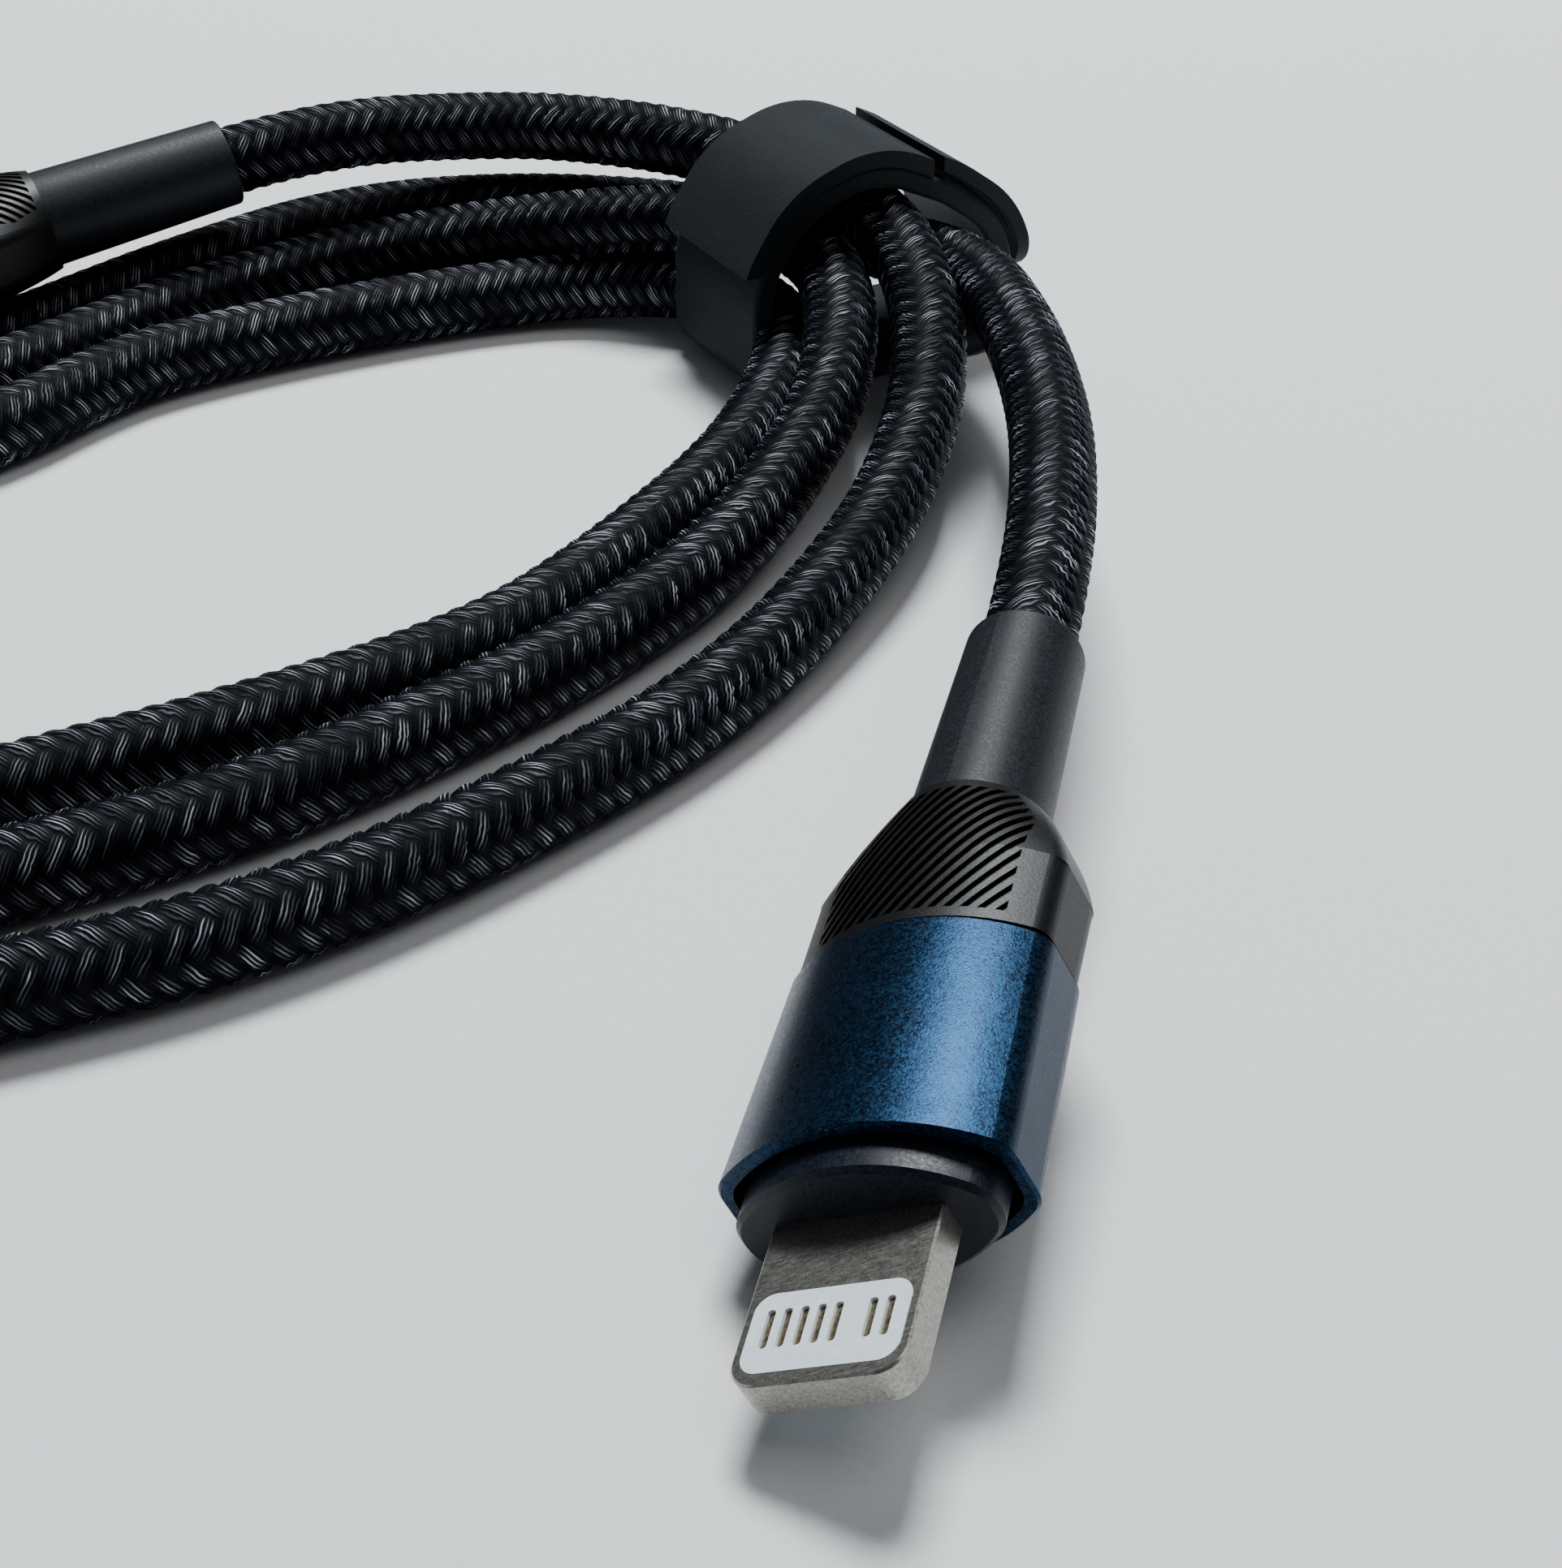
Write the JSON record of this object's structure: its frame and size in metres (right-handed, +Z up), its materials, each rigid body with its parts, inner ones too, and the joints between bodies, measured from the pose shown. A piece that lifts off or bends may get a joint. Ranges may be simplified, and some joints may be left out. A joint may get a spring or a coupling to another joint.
{
  "type": "charging cable",
  "caption": "Braided charging cable with a flat reversible phone plug and a USB-C plug, coiled and held by a hook-and-loop strap.",
  "frame": {"origin": "on the table, under the middle of the box round the two plugs and the strap", "axes": "+Z up from the table; +X from the coil's closed end toward the strap; +Y from the phone plug's tip toward the back of the coil"},
  "size_m": [0.1074, 0.1009, 0.0144],
  "materials": {
    "plug_steel": "satin nickel-plated steel",
    "white_pad": "smooth pale moulding",
    "contact_gold": "dull gold plating",
    "nose_blue": "satin dark blue moulding",
    "shell_blue": "bead-blasted, anodised navy blue",
    "collar_black": "matte black with fine cuts",
    "sleeve_grey": "matte dark blue-grey",
    "inner_plastic": "moulded black",
    "board_green": "solder mask",
    "chip_black": "moulded package",
    "ferrule_brass": "drawn",
    "core_wire": "insulated core",
    "cord_braid": "black nylon braid with a navy tint",
    "strap_fabric": "black napped strap",
    "strap_pile": "hook and loop pile"
  },
  "bodies": {
    "cable": {"phone_tab": "plug_steel", "phone_carrier": "white_pad", "phone_contacts": "contact_gold", "phone_nose": "nose_blue", "phone_shell": "shell_blue", "phone_core": "inner_plastic", "phone_board": "board_green", "phone_chip": "chip_black", "phone_collar": "collar_black", "phone_sleeve": "sleeve_grey", "phone_ferrule": "ferrule_brass", "phone_cord_end": "cord_braid", "phone_wires": "core_wire", "usb_mouth": "plug_steel", "usb_liner": "inner_plastic", "usb_contacts": "contact_gold", "usb_latch": "plug_steel", "usb_nose": "nose_blue", "usb_shell": "shell_blue", "usb_core": "inner_plastic", "usb_board": "board_green", "usb_chip": "chip_black", "usb_collar": "collar_black", "usb_sleeve": "sleeve_grey", "usb_ferrule": "ferrule_brass", "usb_cord_end": "cord_braid", "usb_wires": "core_wire", "strap_band": "strap_fabric", "strap_fold": "strap_fabric", "strap_loop_patch": "strap_pile", "cord_lead_phone": "cord_braid", "cord_coil": "cord_braid", "cord_lead_usb": "cord_braid"},
    "strap_tail": {"strap_tail": "strap_fabric", "strap_hook_patch": "strap_pile"}
  },
  "joints": [
    {"name": "strap_peel", "type": "hinge", "parent": "cable", "child": "strap_tail", "pos_m": [0.03506, 0.04229, 0.01282], "axis": [0.4909, -0.8712, 0], "range_deg": [0, 100]}
  ]
}
